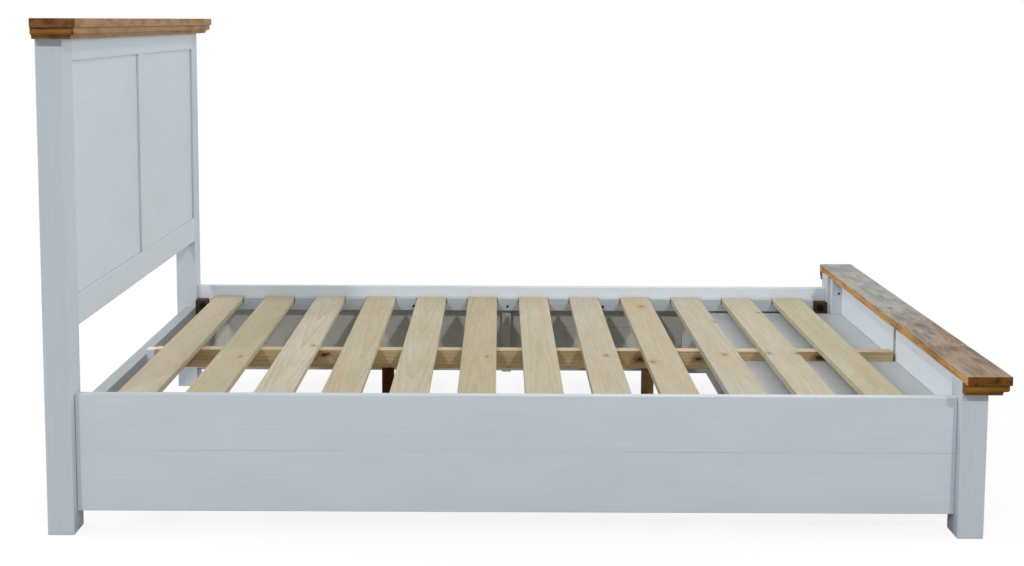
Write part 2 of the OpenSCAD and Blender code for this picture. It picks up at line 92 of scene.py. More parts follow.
# %% [markdown]
# ## Colours and shader nodes
#
# A colour is written as the hex value that a paint chart or a picture editor shows.
# Shaders count light in linear numbers, so one function turns the first into the second.
# A second function adds a shader node, sets its settings and links its inputs, because every
# material below is built from nodes and that job never changes.

# %% Colour and node helpers
def linear(hex_colour):
    """Turns an sRGB hex colour such as #CBD3D9 into linear red, green, blue and alpha."""
    parts = [int(hex_colour[i:i + 2], 16) / 255 for i in (1, 3, 5)]
    curve = [c / 12.92 if c <= 0.04045 else ((c + 0.055) / 1.055) ** 2.4 for c in parts]
    return (*curve, 1.0)


def add(tree, kind, inputs=None, **settings):
    """Adds a shader node. An input is given a value, a socket, or a node for its first output."""
    node = tree.nodes.new("ShaderNode" + kind)
    for name, value in settings.items():
        setattr(node, name, value)
    for socket, value in (inputs or {}).items():
        if isinstance(value, bpy.types.Node):
            value = value.outputs[0]
        if isinstance(value, bpy.types.NodeSocket):
            tree.links.new(value, node.inputs[socket])
        else:
            node.inputs[socket].default_value = value
    return node


# A Mix node keeps its colour sockets at these places.
FIRST = 6
SECOND = 7
COLOUR = 2


def new_material(name):
    """An empty material, its tree and its output."""
    material = bpy.data.materials.new(name)
    material.use_nodes = True
    material.node_tree.nodes.clear()
    output = add(material.node_tree, "OutputMaterial")
    return material, material.node_tree, output


print("white is", [round(c, 2) for c in linear("#FFFFFF")])

# %% [markdown]
# ## The growth rings of pine
#
# A board is a slice of a trunk, and its figure is where the slice cuts the rings.
# The rings can be drawn as stripes, but then the top and the end of a board don't agree.
# So the trunk itself is drawn: rings round a pith line that runs along the board, a little
# beneath it and not quite parallel.
# A flat cut through them gives the long arches of pine, and the end of the same board gives
# its curved end grain.
# A knot is a branch through the board: the rings swell round it.
# All lengths inside the group are in millimetres.

# %% The ring group
NO_KNOT = (9000.0, 9000.0, 1.0)  # mm, a place far off every board
KNOTS = ("Knot 1", "Knot 2", "Knot 3", "Knot 4")
SHORTENED = (1.0, 0.45, 0.0)  # lengths along the grain count for less, so a swirl is long
SWIRL_FALL = -0.28  # how fast a knot's swirl dies away
SWIRL_PUSH = 1.7  # how far a knot pushes the rings out, in its own sizes
RAGGED = 1.6  # how far noise moves a knot's edge, in its own sizes
HEART_EDGE = (1.9, 1.0)  # where a knot's dark middle starts and is full, in its own sizes
QUICK_WANDER = 1.6  # mm
DARKENS = (0.30, 0.86)  # shares of one ring's width
STOPS = (1.0, 0.90)
FAINTEST_YEAR = 0.45  # the weakest ring beside the strongest

rings = bpy.data.node_groups.new("pine rings", "ShaderNodeTree")
for name, kind in (
    ("Place", "NodeSocketVector"),
    ("Pith", "NodeSocketVector"),
    ("Ring", "NodeSocketFloat"),
    ("Wander", "NodeSocketFloat"),
    ("Seed", "NodeSocketFloat"),
    *((knot, "NodeSocketVector") for knot in KNOTS),
):
    rings.interface.new_socket(name=name, in_out="INPUT", socket_type=kind)
for name in ("Late", "Knot", "Halo", "Fibre", "Tone"):
    rings.interface.new_socket(name=name, in_out="OUTPUT", socket_type="NodeSocketFloat")
given = rings.nodes.new("NodeGroupInput").outputs
result = rings.nodes.new("NodeGroupOutput").inputs


def board_noise(tree, place, seed, sizes, detail, roughness=0.5):
    """Noise whose lumps have the given sizes in mm, different on each board by its seed."""
    shrunk = add(tree, "VectorMath", {0: place, 1: [1 / size for size in sizes]},
                 operation="MULTIPLY")
    return add(tree, "TexNoise", {"Vector": shrunk, "W": seed, "Scale": 1.0, "Detail": detail,
                                  "Roughness": roughness}, noise_dimensions="4D")


# The rings aren't true circles: the tree leaned, and noise in two sizes stands for that.
slow_noise = board_noise(rings, given["Place"], given["Seed"], (75, 520, 75), 2.0)
quick_noise = board_noise(rings, given["Place"], given["Seed"], (20, 130, 20), 2.0)
rough_noise = board_noise(rings, given["Place"], given["Seed"], (5, 12, 5), 2.0)
slow_wander = add(rings, "Math", {0: slow_noise, 1: 0.5}, operation="SUBTRACT")
slow_mm = add(rings, "Math", {0: slow_wander, 1: given["Wander"]}, operation="MULTIPLY")
quick_mm = add(rings, "Math", {0: quick_noise, 1: QUICK_WANDER, 2: slow_mm},
               operation="MULTIPLY_ADD")

# Distance from the pith line, which sinks or rises along the board.
place = add(rings, "SeparateXYZ", {0: given["Place"]})
pith = add(rings, "SeparateXYZ", {0: given["Pith"]})
across = add(rings, "Math", {0: place.outputs[0], 1: pith.outputs[0]}, operation="SUBTRACT")
sink = add(rings, "Math", {0: place.outputs[1], 1: pith.outputs[1], 2: pith.outputs[2]},
           operation="MULTIPLY_ADD")
depth = add(rings, "Math", {0: place.outputs[2], 1: sink}, operation="SUBTRACT")
flat = add(rings, "CombineXYZ", {0: across, 1: depth})
radius = add(rings, "VectorMath", {0: flat}, operation="LENGTH").outputs["Value"]
radius = add(rings, "Math", {0: radius, 1: quick_mm}, operation="ADD")

# Each knot swells the rings round it and darkens its own middle.
heart = 0.0
halo = 0.0
for knot in KNOTS:
    parts = add(rings, "SeparateXYZ", {0: given[knot]})
    size = parts.outputs[2]
    centre = add(rings, "CombineXYZ", {0: parts.outputs[0], 1: parts.outputs[1]})
    away = add(rings, "VectorMath", {0: given["Place"], 1: centre}, operation="SUBTRACT")
    away = add(rings, "VectorMath", {0: away, 1: SHORTENED}, operation="MULTIPLY")
    away = add(rings, "VectorMath", {0: away}, operation="LENGTH").outputs["Value"]
    sizes = add(rings, "Math", {0: away, 1: size}, operation="DIVIDE")
    falloff = add(rings, "Math", {0: sizes, 1: sizes}, operation="MULTIPLY")
    falloff = add(rings, "Math", {0: falloff, 1: SWIRL_FALL}, operation="MULTIPLY")
    swell = add(rings, "Math", {0: falloff}, operation="EXPONENT")
    halo = add(rings, "Math", {0: swell, 1: halo}, operation="MAXIMUM")
    swell = add(rings, "Math", {0: swell, 1: size}, operation="MULTIPLY")
    radius = add(rings, "Math", {0: swell, 1: SWIRL_PUSH, 2: radius}, operation="MULTIPLY_ADD")
    ragged = add(rings, "Math", {0: rough_noise, 1: RAGGED, 2: sizes}, operation="MULTIPLY_ADD")
    inside = add(rings, "MapRange", {0: ragged, 1: HEART_EDGE[0], 2: HEART_EDGE[1]},
                 interpolation_type="SMOOTHSTEP")
    heart = add(rings, "Math", {0: inside, 1: heart}, operation="MAXIMUM")

# One ring grows pale and wide in spring, then narrow and dark in summer, and stops at once.
count = add(rings, "Math", {0: radius, 1: given["Ring"]}, operation="DIVIDE")
within = add(rings, "Math", {0: count}, operation="FRACT")
darkening = add(rings, "MapRange", {0: within, 1: DARKENS[0], 2: DARKENS[1]},
                interpolation_type="SMOOTHSTEP")
ending = add(rings, "MapRange", {0: within, 1: STOPS[0], 2: STOPS[1]},
             interpolation_type="SMOOTHSTEP")
late = add(rings, "Math", {0: darkening, 1: ending}, operation="MULTIPLY")
year = add(rings, "Math", {0: count}, operation="FLOOR")
year = add(rings, "TexWhiteNoise", {"W": year}, noise_dimensions="1D")
strength = add(rings, "MapRange", {0: year, 3: FAINTEST_YEAR, 4: 1.0})
late = add(rings, "Math", {0: late, 1: strength}, operation="MULTIPLY")

# Fibres are about 1 mm apart here, coarser than real ones, so that they show.
fibre = board_noise(rings, given["Place"], given["Seed"], (1.1, 60, 1.1), 3.0, 0.6)
tone = board_noise(rings, given["Place"], given["Seed"], (55, 380, 55), 1.0)
for name, value in (("Late", late), ("Knot", heart), ("Halo", halo), ("Fibre", fibre),
                    ("Tone", tone)):
    rings.links.new(value.outputs[0], result[name])
print("ring group:", len(rings.nodes), "nodes")

# %% [markdown]
# ## Which way the grain runs
#
# The ring group wants the board's own axes: across the face, along the grain, through it.
# Rails run along the bed, slats across it and posts upright, so the place is turned first.
# Three letters say how: "zxy" is a rail, with its height across, its length along the grain
# and its thickness through.

# %% Turn places into board axes
MM = 1000.0


def board_place(tree, axes, shift=(0.0, 0.0, 0.0)):
    """Where a point lies on a board, in mm. axes names the across, along and through axis."""
    rows = [[float(letter == axis) for letter in "xyz"] for axis in axes]
    turn = Matrix(rows)
    if turn.determinant() < 0:
        turn[0] = -turn[0]  # a mirrored board isn't a turn, so across runs the other way
    place = add(tree, "TexCoord").outputs["Object"]
    return add(tree, "Mapping", {"Vector": place, "Location": shift,
                                 "Rotation": turn.to_euler(), "Scale": (MM, MM, MM)})


def board_seed():
    """A different number for each material, so that no two boards are alike.

    It counts the materials made so far, so their order decides how each board looks."""
    return 3.7 * len(bpy.data.materials)


def ring_node(tree, place, pith, ring=6.0, wander=10.0, knots=()):
    """The ring group with its values for one board."""
    knots = (*knots, *(NO_KNOT for _ in KNOTS))
    values = {"Pith": pith, "Ring": ring, "Wander": wander, "Seed": board_seed(),
              **dict(zip(KNOTS, knots))}
    group = add(tree, "Group", node_tree=rings)
    source = place.outputs[0] if isinstance(place, bpy.types.Node) else place
    tree.links.new(source, group.inputs["Place"])
    for name, value in values.items():
        group.inputs[name].default_value = value
    return group.outputs


print("a rail's axes turn by", [round(math.degrees(a)) for a in Matrix(
    ((0, 0, 1), (1, 0, 0), (0, 1, 0))).to_euler()], "degrees")

# %% [markdown]
# ## Raw pine
#
# The slats are planed softwood with no finish: pale straw, with faint rings a little more
# golden and a few small knots.
# Planed wood scatters nearly all the light, so it is rough, with the IOR of plant fibre, 1.5.
# Each slat is its own board, so each gets its own pith, tone and knots.

# %% Bare wood
WARM_SHADED_WHITE = "#C6C5BD"  # white paint, warmer and greyer: painted shade with the warm light from the slats
GOLDEN = (0.94, 0.90, 0.81, 1.0)  # the mottle multiplies the colour by this
GOLDEN_PATCH = (11, 95, 11)  # mm
BLUSH_PATCH = (26, 420, 26)  # mm
BLUSH_SHARE = 0.4
HALO_SHARE = 0.6
SPRAY_SHARE = 0.92
SPRAY_EDGE = 30.0  # mm, over which the dusting fades in
TOP_LIGHT_SHARE = 0.6
LOOKS_UP = (0.5, 0.9)  # how squarely a face looks up before it takes the painted light
PLANED_RELIEF = 0.0003  # metres


def bare_wood(name, axes, pale, deep, knot, pith, shift=(0.0, 0.0, 0.0), ring=6.0,
              wander=10.0, knots=(), contrast=0.45, warmth=0.3, blush=None, mottled=0.4,
              specular=0.3, halo="#8A6A42", sprayed_below=None, top=None):
    """Planed wood in two colours of ring, with knots and perhaps a blush of a third colour.

    Below sprayed_below, a height in mm, the wood is dusted over with the white paint, in its warm
    grey of painted shade.
    top is the colour that faces looking up are lightened towards: painted light on a lit top."""
    material, tree, output = new_material(name)
    place = board_place(tree, axes, shift)
    figure = ring_node(tree, place, pith, ring, wander, knots)
    deepness = add(tree, "Math", {0: figure["Late"], 1: contrast}, operation="MULTIPLY")
    colour = add(tree, "Mix", {0: deepness, FIRST: linear(pale), SECOND: linear(deep)},
                 data_type="RGBA").outputs[COLOUR]
    warm = add(tree, "MapRange", {0: figure["Tone"], 1: 0.35, 2: 0.7, 4: warmth})
    colour = add(tree, "Mix", {0: warm, FIRST: colour, SECOND: linear(deep)},
                 data_type="RGBA").outputs[COLOUR]
    if blush:
        spot = board_noise(tree, place, board_seed(), BLUSH_PATCH, 2.0)
        spot = add(tree, "MapRange", {0: spot, 1: 0.47, 2: 0.7, 4: BLUSH_SHARE},
                   interpolation_type="SMOOTHSTEP")
        colour = add(tree, "Mix", {0: spot, FIRST: colour, SECOND: linear(blush)},
                     data_type="RGBA").outputs[COLOUR]
    mottle = board_noise(tree, place, board_seed() + 1.0, GOLDEN_PATCH, 3.0, 0.6)
    mottle = add(tree, "MapRange", {0: mottle, 1: 0.37, 2: 0.63, 4: mottled})
    hue = add(tree, "Mix", {0: mottle, FIRST: (1.0, 1.0, 1.0, 1.0), SECOND: GOLDEN},
              data_type="RGBA").outputs[COLOUR]
    colour = add(tree, "VectorMath", {0: colour, 1: hue}, operation="MULTIPLY")
    streak = add(tree, "MapRange", {0: figure["Fibre"], 1: 0.3, 2: 0.7, 3: 0.93, 4: 1.09})
    colour = add(tree, "VectorMath", {0: colour, 1: streak}, operation="MULTIPLY")
    near_knot = add(tree, "Math", {0: figure["Halo"], 1: HALO_SHARE}, operation="MULTIPLY")
    colour = add(tree, "Mix", {0: near_knot, FIRST: colour, SECOND: linear(halo)},
                 data_type="RGBA").outputs[COLOUR]
    colour = add(tree, "Mix", {0: figure["Knot"], FIRST: colour, SECOND: linear(knot)},
                 data_type="RGBA").outputs[COLOUR]
    # The dusting is white paint in a warm grey: painted shade with the slats' warm light.
    if sprayed_below:
        height = add(tree, "SeparateXYZ", {0: board_place(tree, "xyz")}).outputs[2]
        spray = add(tree, "MapRange", {0: height, 1: sprayed_below,
                                       2: sprayed_below - SPRAY_EDGE, 4: SPRAY_SHARE})
        colour = add(tree, "Mix", {0: spray, FIRST: colour, SECOND: linear(WARM_SHADED_WHITE)},
                     data_type="RGBA").outputs[COLOUR]
    # Faces that look up are lightened towards top: painted light.
    if top:
        upward = add(tree, "NewGeometry").outputs["True Normal"]
        upward = add(tree, "SeparateXYZ", {0: upward}).outputs[2]
        upward = add(tree, "MapRange", {0: upward, 1: LOOKS_UP[0], 2: LOOKS_UP[1],
                                        4: TOP_LIGHT_SHARE})
        colour = add(tree, "Mix", {0: upward, FIRST: colour, SECOND: linear(top)},
                     data_type="RGBA").outputs[COLOUR]
    relief = add(tree, "Math", {0: figure["Late"], 1: figure["Fibre"]}, operation="ADD")
    bump = add(tree, "Bump", {"Height": relief, "Strength": 0.25, "Distance": PLANED_RELIEF})
    shader = add(tree, "BsdfPrincipled", {
        "Base Color": colour, "Roughness": 0.62, "IOR": 1.5, "Normal": bump,
        "Specular IOR Level": specular,
    })
    tree.links.new(shader.outputs[0], output.inputs[0])
    return material


print("golden patches:", GOLDEN_PATCH, "mm")

# %% The twelve slats
# A pith is its place across, its slope along and its depth; a knot is across, along, size.
# All are in mm, from the slat's edge by the headboard, the bed's middle and the slat's top.
STRAW = "#A08F63"
SLAT_BLUSH = "#C3A588"
PINE_KNOT = "#7C6247"
SLAT_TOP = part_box("slat_01")[1].z * MM
# Each pale colour is the slat's own tone, and partly painted shade: the first slat, in the
# headboard's shadow, is the darkest.
SLATS = {
    "slat_01": dict(pale="#ABA292", pith=(30, 0.004, -46), ring=6.5),
    "slat_02": dict(pale="#BBB39A", pith=(-10, 0.010, -52), ring=8.0,
                    knots=((68, -203, 4),)),
    "slat_03": dict(pale="#CEC6B5", pith=(52, 0.022, -30), ring=8.0,
                    knots=((82, -52, 5),)),
    "slat_04": dict(pale="#C4BCA3", pith=(62, 0.020, -32), ring=9.0, wander=24.0),
    "slat_05": dict(pale="#C6BFAA", pith=(45, 0.030, -38), ring=9.0, wander=16.0),
    "slat_06": dict(pale="#B8AE92", pith=(40, -0.020, -34), ring=8.0,
                    knots=((70, -191, 4),)),
    "slat_07": dict(pale="#BAB49F", pith=(50, -0.012, -26), ring=10.0, wander=26.0),
    "slat_08": dict(pale="#B6B1A3", pith=(96, 0.012, -36), ring=9.0, wander=18.0,
                    knots=((62, -172, 6),)),
    "slat_09": dict(pale="#B4AB96", pith=(30, 0.010, -44), ring=7.0,
                    knots=((58, 593, 8), (15, -253, 7))),
    "slat_10": dict(pale="#B3AFA1", pith=(60, -0.008, -40), ring=7.0,
                    knots=((93, 334, 6), (54, -153, 6))),
    "slat_11": dict(pale="#B8B3A4", pith=(20, 0.016, -36), ring=8.0,
                    knots=((12, -132, 6), (90, -135, 7), (81, 493, 5))),
    "slat_12": dict(pale="#BDBAA4", pith=(48, 0.009, -30), ring=9.0),
}
finish_of = {}
for name, wood in SLATS.items():
    left_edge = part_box(name)[0].x * MM
    finish_of[name] = bare_wood(
        f"planed_pine_{name}", "xyz", deep=STRAW, knot=PINE_KNOT, blush=SLAT_BLUSH,
        contrast=0.31, warmth=0.27, mottled=0.95, shift=(-left_edge, 0, -SLAT_TOP), **wood)
print("slat finishes:", len(finish_of))

# %% [markdown]
# ## Beam, legs, blocks and drawer boxes
#
# The beam under the slats is older, oilier pine with strong knots.
# Its top is painted lighter, a painted light, and its leg by the headboard and the corner blocks
# are stained dark.
# The drawer boxes are the same bare pine as the slats, and a little more golden.

# %% Inner wood
OILY_PALE = "#C4AE86"
OILY_DEEP = "#8A6436"
DRAWER_PALE = "#D0C39F"
DRAWER_DEEP = "#B2935F"
# The beam's lighter top colour is painted light.
beam_pine = bare_wood(
    "sawn_pine_beam", "zxy", OILY_PALE, OILY_DEEP, "#43210F", pith=(300, 0.004, -46),
    ring=9.0, wander=22.0, contrast=0.36, warmth=0.62, specular=0.2,
    halo="#6E3E1A", top="#D9CDB4",
    knots=((256, 337, 9), (266, -550, 8), (262, 846, 9), (258, 500, 5)))
foot_leg_pine = bare_wood(
    "sawn_pine_leg", "xzy", "#84673C", "#5E421D", "#33200F", pith=(340, 0.01, -30), ring=6.0,
    specular=0.15)
stained_leg_pine = bare_wood(
    "stained_pine_leg", "xzy", "#5C3510", "#3A2007", "#180C04", pith=(-390, 0.01, -30),
    ring=6.0, specular=0.12)
stained_block_pine = bare_wood(
    "stained_pine_blocks", "xzy", "#443721", "#281E10", "#130D06", pith=(-1080, 0.01, 700),
    ring=5.0, specular=0.12, sprayed_below=210.0)
box_pine_along = bare_wood(
    "planed_pine_drawer_sides", "zxy", DRAWER_PALE, DRAWER_DEEP, PINE_KNOT,
    pith=(150, 0.03, 680), knots=((170, 820, 6), (140, 950, 4)))
box_pine_across = bare_wood(
    "planed_pine_drawer_ends", "zyx", DRAWER_PALE, DRAWER_DEEP, PINE_KNOT,
    pith=(-150, 0.03, 600), knots=((-130, 420, 6), (-160, -500, 5)))
print("materials so far:", len(bpy.data.materials))

# %% [markdown]
# ## Brushed white paint
#
# The frame is pine too, wire brushed and painted with a cool white satin.
# The brush takes out the soft spring wood, so the paint lies in fine ridges along the grain.
# Satin paint has an IOR near 1.48 and a middling roughness, and the ridges catch the light as
# faint streaks.
# A rail is glued up from boards, and each glue line shows as a hair of shadow in the paint.
# Where a rail meets a post the paint has cracked, and the crack is darker still.

# %% Brushed paint over pine
PAINT = "#C5CDD3"
PAINT_SHADE = "#BBC4CA"
THICK_STROKE = "#D6DCE1"
THIN_STROKE = "#A4AEB5"
GLUE_LINE = "#7F898E"
# The next tint is painted light, for a rail's inner face, which the lamps reach less.
INNER_LIGHT = "#D5DCE2"
BRUSH_MARK = (2.4, 260, 2.4)  # mm, coarser than a real wire brush's, so that it shows
CLOUD = (90, 260, 90)  # mm
STROKE = (2.6, 130, 2.6)  # mm
STROKE_SHARE = 0.24
STROKE_LEVELS = ((0.61, 0.74, THICK_STROKE), (0.39, 0.26, THIN_STROKE))
RING_RELIEF = 0.35
WARM_SHADE_EDGE = 6.0  # mm, half of the band where the painted warm shade fades in
GLUE_HALF = 1.3  # mm, half the width of a glue line's shadow
CRACK_HALF = 1.9  # mm
CRACK_DEPTH = 1.6
LINE_CORE = 0.4  # mm, the darkest part of either
GROOVE = -1.5  # how deep either sinks, beside the brush marks
PAINT_RELIEF = 0.0004  # metres


def painted_pine(name, axes, glue_lines=(), cracks=(), glue_depth=0.6, warm_shade_below=None,
                 inner_within=0.0, tint=PAINT, turned=None, pith=(40.0, 0.004, -60.0)):
    """White paint over brushed pine. Glue lines lie across the board, cracks along it.

    A rail's face towards the inside of the bed takes a lighter tint, painted light, and below a
    given height a warm grey, painted shade with the slats' warm light.
    turned gives a direction, and the tint of the faces that look that way: painted light or
    shade, for a side that the lamps reach more or less."""
    material, tree, output = new_material(name)
    place = board_place(tree, axes)
    figure = ring_node(tree, place, pith, ring=8.0, wander=16.0)
    streak = add(tree, "VectorMath", {0: place, 1: [1 / size for size in BRUSH_MARK]},
                 operation="MULTIPLY")
    streak = add(tree, "TexNoise", {"Vector": streak, "Scale": 1.0, "Detail": 4.0,
                                    "Roughness": 0.62})
    cloud = add(tree, "VectorMath", {0: place, 1: [1 / size for size in CLOUD]},
                operation="MULTIPLY")
    cloud = add(tree, "TexNoise", {"Vector": cloud, "Scale": 1.0, "Detail": 2.0})
    both = add(tree, "Math", {0: streak, 1: cloud}, operation="ADD")
    shade = add(tree, "MapRange", {0: both, 1: 0.72, 2: 1.28, 3: 0.5, 4: 0.0})
    colour = add(tree, "Mix", {0: shade, FIRST: linear(tint), SECOND: linear(PAINT_SHADE)},
                 data_type="RGBA").outputs[COLOUR]
    # Faces that look the given way take their own tint: painted light or painted shade on that
    # side.
    if turned:
        way, light_or_shade_tint = turned
        facing = add(tree, "NewGeometry").outputs["True Normal"]
        facing = add(tree, "VectorMath", {0: facing, 1: way}, operation="DOT_PRODUCT")
        facing = add(tree, "MapRange", {0: facing.outputs["Value"], 1: 0.4, 2: 0.9})
        colour = add(tree, "Mix", {0: facing, FIRST: colour, SECOND: linear(light_or_shade_tint)},
                     data_type="RGBA").outputs[COLOUR]
    stroke = board_noise(tree, place, board_seed(), STROKE, 1.0)
    for low, high, tone in STROKE_LEVELS:
        mark = add(tree, "MapRange", {0: stroke, 1: low, 2: high, 4: STROKE_SHARE})
        colour = add(tree, "Mix", {0: mark, FIRST: colour, SECOND: linear(tone)},
                     data_type="RGBA").outputs[COLOUR]
    height = add(tree, "Math", {0: figure["Late"], 1: RING_RELIEF, 2: streak},
                 operation="MULTIPLY_ADD")
    sides = add(tree, "SeparateXYZ", {0: place})
    up = add(tree, "Math", {0: sides.outputs[0]}, operation="ABSOLUTE")
    # A rail's inner face takes a lighter tint, painted light, and below a height a warm grey,
    # painted shade with the warm light from the slats.
    if warm_shade_below:
        out = add(tree, "Math", {0: sides.outputs[2]}, operation="ABSOLUTE")
        inner = add(tree, "Math", {0: out, 1: inner_within}, operation="LESS_THAN")
        colour = add(tree, "Mix", {0: inner, FIRST: colour, SECOND: linear(INNER_LIGHT)},
                     data_type="RGBA").outputs[COLOUR]
        low = add(tree, "MapRange", {0: up, 1: warm_shade_below + WARM_SHADE_EDGE,
                                     2: warm_shade_below - WARM_SHADE_EDGE})
        warm_shade = add(tree, "Math", {0: inner, 1: low}, operation="MULTIPLY")
        colour = add(tree, "Mix", {0: warm_shade, FIRST: colour, SECOND: linear(WARM_SHADED_WHITE)},
                     data_type="RGBA").outputs[COLOUR]
    filled = add(tree, "MapRange", {0: cloud, 1: 0.4, 2: 0.6, 3: 0.15, 4: 0.9})
    lines = [(up, at, GLUE_HALF, glue_depth, filled) for at in glue_lines]
    lines += [(sides.outputs[1], at, CRACK_HALF, CRACK_DEPTH, cloud) for at in cracks]
    for where, at, width, depth, share in lines:
        off = add(tree, "Math", {0: where, 1: at}, operation="SUBTRACT")
        off = add(tree, "Math", {0: off}, operation="ABSOLUTE")
        line = add(tree, "MapRange", {0: off, 1: width, 2: LINE_CORE, 4: depth},
                   interpolation_type="SMOOTHSTEP")
        line = add(tree, "Math", {0: line, 1: share}, operation="MULTIPLY", use_clamp=True)
        colour = add(tree, "Mix", {0: line, FIRST: colour, SECOND: linear(GLUE_LINE)},
                     data_type="RGBA").outputs[COLOUR]
        height = add(tree, "Math", {0: line, 1: GROOVE, 2: height}, operation="MULTIPLY_ADD")
    bump = add(tree, "Bump", {"Height": height, "Strength": 0.35, "Distance": PAINT_RELIEF})
    gloss = add(tree, "MapRange", {0: streak, 1: 0.3, 2: 0.7, 3: 0.38, 4: 0.52})
    shader = add(tree, "BsdfPrincipled", {
        "Base Color": colour, "Roughness": gloss, "IOR": 1.48, "Normal": bump,
    })
    tree.links.new(shader.outputs[0], output.inputs[0])
    return material


print("white paint:", PAINT)

# %% The painted finishes
RAIL_GLUE_LINE = 197.0  # mm above the floor
RAIL_WARM_SHADE_BELOW = 290.0  # mm above the floor
PANEL_BOARD = 140.0  # mm, the width of one board of the headboard's panels
INNER_SKIN = 2.0  # mm, how far into a rail its inner face's painted light and shade reach
panel_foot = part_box("headboard_panel_left")[0].z * MM
rail_inner_face = -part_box("side_rail_left")[1].y * MM
rail_paint = painted_pine(
    "satin_paint_side_rails", "zxy", glue_lines=(RAIL_GLUE_LINE,), glue_depth=0.55,
    cracks=(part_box("headboard_post_left")[1].x * MM,),
    warm_shade_below=RAIL_WARM_SHADE_BELOW, inner_within=rail_inner_face + INNER_SKIN)
# The panels' bluer tint is painted light, against the warm light that the slats send up.
panel_paint = painted_pine(
    "satin_paint_panels", "zyx", glue_depth=0.14, tint="#C4CFD7",
    glue_lines=[panel_foot + PANEL_BOARD * i for i in range(1, 4)])
cross_paint = painted_pine("satin_paint_cross_rails", "zyx", tint="#C4CDD5")
# A darker tint, and a darker still top: painted shade, for the headboard's shadow on the base
# rail.
base_paint = painted_pine("satin_paint_base_rail", "zyx", tint="#B7BDBF",
                          turned=((0, 0, 1), "#8C9499"))
# The posts' darker tint is painted shade, as the light falls off towards the bed's ends.
upright_paint = painted_pine("satin_paint_uprights", "yzx", tint="#B8C0C7")
stile_paint = painted_pine("satin_paint_stiles", "yzx")
# The battens' warm grey is painted shade, with the warm light from the slats.
batten_paint = painted_pine("shaded_paint_battens", "yzx", tint="#BFBDB2")
# The fascia's face towards the headboard takes a lighter tint: painted light.
fascia_paint = painted_pine("satin_paint_fascia", "zyx", turned=((-1, 0, 0), "#E3E9F0"))
# The ledgers' darker tint is painted shade under the slats.
ledger_paint = painted_pine("satin_paint_ledgers", "zxy", tint="#B0B7BB")
print("a rail's inner face:", round(rail_inner_face), "mm from the middle")

# %% [markdown]
# ## Waxed pine
#
# The two caps and the knobs are stained a rustic brown and waxed.
# The stain sinks deepest into the ends, so they are dark, and painted shade darkens the
# moulding's ends further;
# the tops are dusted and rubbed, so they are greyer; the edges keep the honey of the wax.
# The side that a face looks to picks its pair of colours, and the rings mix the two.
# A moulding is mitred at the corners: its ends are short runs whose grain goes with the bed.

# %% Stain and wax over pine
STAIN_PATCH = (26, 110, 26)  # mm
STAIN_SHARE = 0.65
RING_SHARE = 0.5
DUST_BLOTCH = (1 / 45, 1 / 160, 0.0)  # one over mm; a blotch goes straight down
DUST_FADE = (-0.18, 0.4)  # what is added to the dust where it starts and where it is full
TURNED = (0.35, 0.65)  # how squarely a face looks to a side before it takes its colours
WORN_SHARE = 0.65
WAX_RELIEF = 0.0004  # metres


